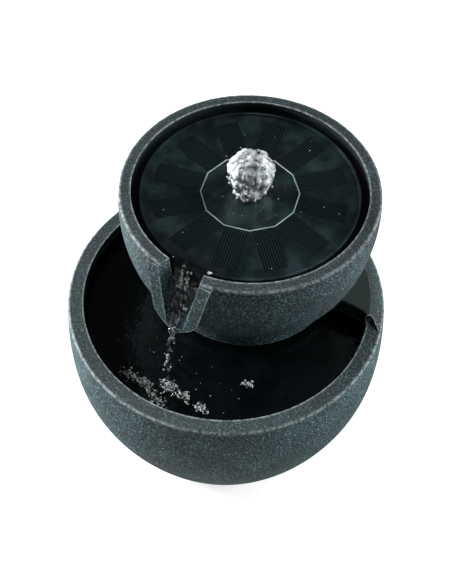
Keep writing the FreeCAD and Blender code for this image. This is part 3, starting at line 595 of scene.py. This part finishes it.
def balls(name, places, material):
    """Many drops or bubbles as one piece: places lists (centre, radius, squash)."""
    points, faces = [], []
    for centre, radius, squash in places:
        start = len(points)
        points += ball_points(centre, radius, squash)
        faces += [tuple(start + k for k in face) for face in ring_faces(BALL_ROWS + 1, BALL_COLUMNS)]
    return make_mesh(name, points, faces, material)


def plume_drops(draw):
    """Drops thrown off round the plume and over its top."""
    places = []
    for _ in range(70):
        turn, z = draw.uniform(0, 2 * math.pi), draw.uniform(SPRAY_LOW, SPRAY_HIGH)
        reach = draw.uniform(17, 22) if z < SPRAY_CROWN else draw.uniform(4, 15)
        centre = (reach * math.cos(turn), UPPER_Y + reach * math.sin(turn), z)
        places.append((centre, draw.uniform(0.4, 1.3), 1.0))
    return places


def panel_drops(draw):
    """Small bubbles on the water over the panel, denser near the plume."""
    places = []
    for _ in range(30):
        turn, reach = draw.uniform(0, 2 * math.pi), 24 + 76 * draw.random() ** 1.4
        centre = (reach * math.cos(turn), UPPER_Y + reach * math.sin(turn), BASIN_LEVEL + 0.3)
        places.append((centre, draw.uniform(0.25, 0.6), 0.6))
    return places


def pool_bubbles(draw):
    """Rafts of bubbles where the stream lands, one that has drifted off, and loose bubbles."""
    places = []
    for x, y, spread, count in RAFTS:
        for _ in range(count):
            radius = 0.45 + 1.7 * draw.random() ** 2.2
            centre = (x + draw.gauss(0, spread * 0.75), y + draw.gauss(0, spread * 0.45), POOL_LEVEL + 0.2)
            if math.hypot(centre[0], centre[1]) < POOL_R - 8:
                places.append((centre, radius, 0.8))
    for _ in range(40):
        centre = (draw.uniform(-70, 80), draw.uniform(-128, -60), POOL_LEVEL + 0.1)
        if math.hypot(centre[0], centre[1]) < POOL_R - 10:
            places.append((centre, draw.uniform(0.3, 0.8), 0.7))
    return places


def splash_crown(material):
    """The torn lumps of water thrown up round the landing place."""
    rows, columns = 12, 28
    points, faces = [], []
    for x, y, width, height in LUMPS:
        start = len(points)
        for i in range(rows):
            share = i / (rows - 1)
            for j in range(columns):
                turn = 2 * math.pi * j / columns
                edge = (x + 9 * math.cos(turn), y + 9 * math.sin(turn), 0)
                reach = width * (1 - share) * (1 + 0.45 * rough(edge, 6.0, 1.0))
                px, py = x + reach * math.cos(turn), y + 0.6 * reach * math.sin(turn)
                torn = rough((px, py, 2.0), 2.6, 6.0) + 0.6 * rough((px, py, 2.0), 1.3, 3.0)
                points.append((px, py, POOL_LEVEL - 0.6 + height * share ** 0.7 * (0.55 + 0.8 * torn)))
        faces += [tuple(start + k for k in face) for face in ring_faces(rows, columns)]
    return make_mesh("splash_crown", points, faces, material)


def flow_section(t):
    """Reach, half width and drop below the rim of the spout's water, from the weir at 0 to the tip at 1."""
    reach = 99.0 + 33.0 * t
    half = 17.0 * (1 - t) ** 1.15 + 3.6
    drop = 5.4 + 60.0 * max(0.0, (t - 0.10) / 0.90)
    return reach, half, drop


def weir_drops(draw):
    """Broken water just below the weir, in two streaks."""
    places = []
    for _ in range(34):
        t = draw.uniform(0.16, 0.42)
        reach, half, drop = flow_section(t)
        x = draw.choice((-0.30, 0.12)) * half + draw.gauss(0, 1.3)
        centre = (x, UPPER_Y - reach - 0.6, UPPER_RIM_Z - drop + 0.6)
        places.append((centre, draw.uniform(0.5, 1.5), 1.5))
    return places


def spout_flow(material):
    """The sheet of water that slides from the weir down the spout's channel and gathers at its tip."""
    rows, columns, thick = 46, 17, 1.3
    over_and_back = [(j, 0.0) for j in range(columns)] + [(j, thick) for j in reversed(range(columns))]
    points = []
    for i in range(rows):
        t = i / (rows - 1)
        reach, half, drop = flow_section(t)
        for j, under in over_and_back:
            across = -1 + 2 * j / (columns - 1)
            wave = (1.4 * rough((across * half * 2.2, t * 26.0, 0.0), 4.5, 4.0)
                    + 0.8 * rough((across * half * 3, t * 60.0, 0.0), 3.5, 7.0))
            sag = 2.2 * across * across * t
            out = wave * min(1.0, t * 4)
            points.append((half * across, UPPER_Y - reach - out * 0.9 + under,
                           UPPER_RIM_Z - drop + sag + out * 0.5 - 0.5 * under))
    return make_mesh("spout_flow", points, ring_faces(rows, len(over_and_back)), material)


def stream_centre(s):
    """The stream's middle, from the spout's tip at 0 to the pool at 1."""
    x = TIP[0] + 1.4 * math.sin(s * 7.0) * s
    y = TIP[1] + (SPLASH[1] - TIP[1]) * s
    z = TIP[2] + (POOL_LEVEL - TIP[2]) * (0.4 * s + 0.6 * s * s)
    return x, y, z


def falling_stream(material):
    """The stream from the spout's tip to the pool, which narrows, twists and starts to bead."""
    rows, columns = 80, 20
    points = []
    for i in range(rows):
        s = i / (rows - 1)
        x, y, z = stream_centre(s)
        bead = math.sin(s * 21.0 + 1.0)
        wide = (3.7 * (1 - s) + 1.9 * s) * (1 + 0.34 * bead)
        thin = (1.6 * (1 - s) + 1.4 * s) * (1 - 0.25 * bead)
        cos_twist, sin_twist = math.cos(s * 3.0), math.sin(s * 3.0)
        for j in range(columns):
            turn = 2 * math.pi * j / columns
            swell = 1 + 0.30 * rough((math.cos(turn) * 3, math.sin(turn) * 3, z), 3.6, 2.0)
            a, b = wide * math.cos(turn) * swell, thin * math.sin(turn) * swell
            points.append((x + a * cos_twist - b * sin_twist, y + a * sin_twist + b * cos_twist, z))
    return make_mesh("falling_stream", points, ring_faces(rows, columns), material)


def stream_drops(draw):
    """Drops beside the stream, which spread as they fall."""
    places = []
    for _ in range(22):
        s = draw.random() ** 0.7
        x, y, z = stream_centre(s)
        off = 2.0 + 5.0 * s * draw.random()
        turn = draw.uniform(0, 2 * math.pi)
        centre = (x + off * math.cos(turn), y + off * math.sin(turn), z)
        places.append((centre, draw.uniform(0.35, 1.2), 1.2))
    return places


def make_water():
    """All the water. The order in which its pieces draw random numbers fixes their shapes."""
    draw = random.Random(SEED)
    foam = splashing_material("foam", 0.36, 0.56, 210.0)
    plume_water = splashing_material("plume", 0.36, 0.58, 150.0)
    stream_water = splashing_material("stream", 0.54, 0.68, 120.0, 3.0)
    sheet_water = splashing_material("sheet", 0.66, 0.71, 76.0, 1.5, 1.0)
    bubble = splashing_material("bubble", 0.47, 0.66, 420.0, 2.6)
    film = clear_material("basin_water", (0.92, 0.96, 0.97), 0.03, 75.0, 0.0017)
    pool = water_disc("pool_surface", (0.0, 0.0), POOL_R, POOL_LEVEL, pool_height, pool_material(),
                      100, 150, POOL_THICK)
    basin = water_disc("basin_surface", (0.0, UPPER_Y), BASIN_R, BASIN_LEVEL, basin_height, film,
                       110, 180, BASIN_THICK)
    on_basin = [pool, balls("pool_bubbles", pool_bubbles(draw), bubble), splash_crown(bubble)]
    on_tier = [basin, balls("panel_drops", panel_drops(draw), foam), spout_flow(sheet_water),
               falling_stream(stream_water), balls("stream_drops", stream_drops(draw), foam),
               balls("weir_drops", weir_drops(draw), foam)]
    column = plume(plume_water)
    on_nozzle = [column, balls("plume_drops", plume_drops(draw), foam)]
    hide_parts("water_jet")
    for body, pieces in (("basin", on_basin), ("upper_tier", on_tier), ("nozzle", on_nozzle)):
        for piece in pieces:
            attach(piece, body)


# ---------------------------------------------------------------- stage
def make_floor():
    """A pale floor whose glow only the camera sees, so that it looks white but doesn't light the object."""
    material, tree = new_material("floor")
    tone = ramp(tree, noise_value(tree, coords(tree), 3.0, 2.0), [(0.3, grey(0.60)), (0.7, grey(0.63))])
    seen = add(tree, "ShaderNodeLightPath").outputs["Is Camera Ray"]
    x, y, _z = scaled_place(tree)
    far = clamp01(tree, calc(tree, "DIVIDE", minus(tree, length2(tree, x, y), 350.0), 900.0))
    glow = times(tree, seen, calc(tree, "ADD", 0.76, times(tree, far, 0.33)))
    lit = add(tree, "ShaderNodeEmission", None, {"Color": rgba(grey(1.0)), "Strength": glow}).outputs[0]
    matt = add(tree, "ShaderNodeBsdfDiffuse", None, {"Color": tone}).outputs[0]
    both = add(tree, "ShaderNodeAddShader", None, {0: lit, 1: matt}).outputs[0]
    finish_material(material, tree, both)
    half = FLOOR_HALF / MM
    corners = [(-half, -half, -0.2), (half, -half, -0.2), (half, half, -0.2), (-half, half, -0.2)]
    make_mesh("floor", corners, [(0, 1, 2, 3)], material, False)


def make_sky():
    """A dim, even sky, which the camera sees as white."""
    world = bpy.data.worlds.new("studio")
    world.use_nodes = True
    tree = world.node_tree
    tree.nodes.clear()
    seen = add(tree, "ShaderNodeLightPath").outputs["Is Camera Ray"]
    strength = calc(tree, "ADD", SKY_LIGHT, times(tree, seen, SKY_SEEN))
    sky = add(tree, "ShaderNodeBackground", None, {"Color": rgba((0.97, 0.985, 1.0)), "Strength": strength})
    tree.links.new(sky.outputs[0], add(tree, "ShaderNodeOutputWorld").inputs["Surface"])
    bpy.context.scene.world = world


def make_lamps():
    for name, (place, size, power) in LAMPS.items():
        lamp = bpy.data.lights.new(name, "AREA")
        lamp.shape = "DISK"
        lamp.size = size
        lamp.energy = power
        holder = bpy.data.objects.new(name, lamp)
        holder.location = place
        holder.rotation_euler = (LAMP_TARGET - Vector(place)).to_track_quat("-Z", "Y").to_euler()
        bpy.context.scene.collection.objects.link(holder)


def make_camera():
    """Looks down at the fountain from the front right."""
    turn, pitch, roll = (math.radians(value) for value in (CAMERA_TURN, CAMERA_PITCH, CAMERA_ROLL))
    level = math.cos(pitch)
    forward = Vector((-math.sin(turn) * level, math.cos(turn) * level, -math.sin(pitch)))
    right = Vector((math.cos(turn), math.sin(turn), 0.0))
    up = right.cross(forward)
    side = right * math.cos(roll) + up * math.sin(roll)
    top = up * math.cos(roll) - right * math.sin(roll)
    data = bpy.data.cameras.new("camera")
    data.sensor_width = CAMERA_SENSOR
    data.lens = CAMERA_LENS
    camera = bpy.data.objects.new("camera", data)
    turned = Matrix((side, top, -forward)).transposed().to_4x4()
    camera.matrix_world = Matrix.Translation(CAMERA_PLACE) @ turned
    bpy.context.scene.collection.objects.link(camera)
    bpy.context.scene.camera = camera
    bpy.context.scene.view_settings.view_transform = "Standard"


dress(make_materials())
make_water()
make_floor()
make_sky()
make_lamps()
make_camera()
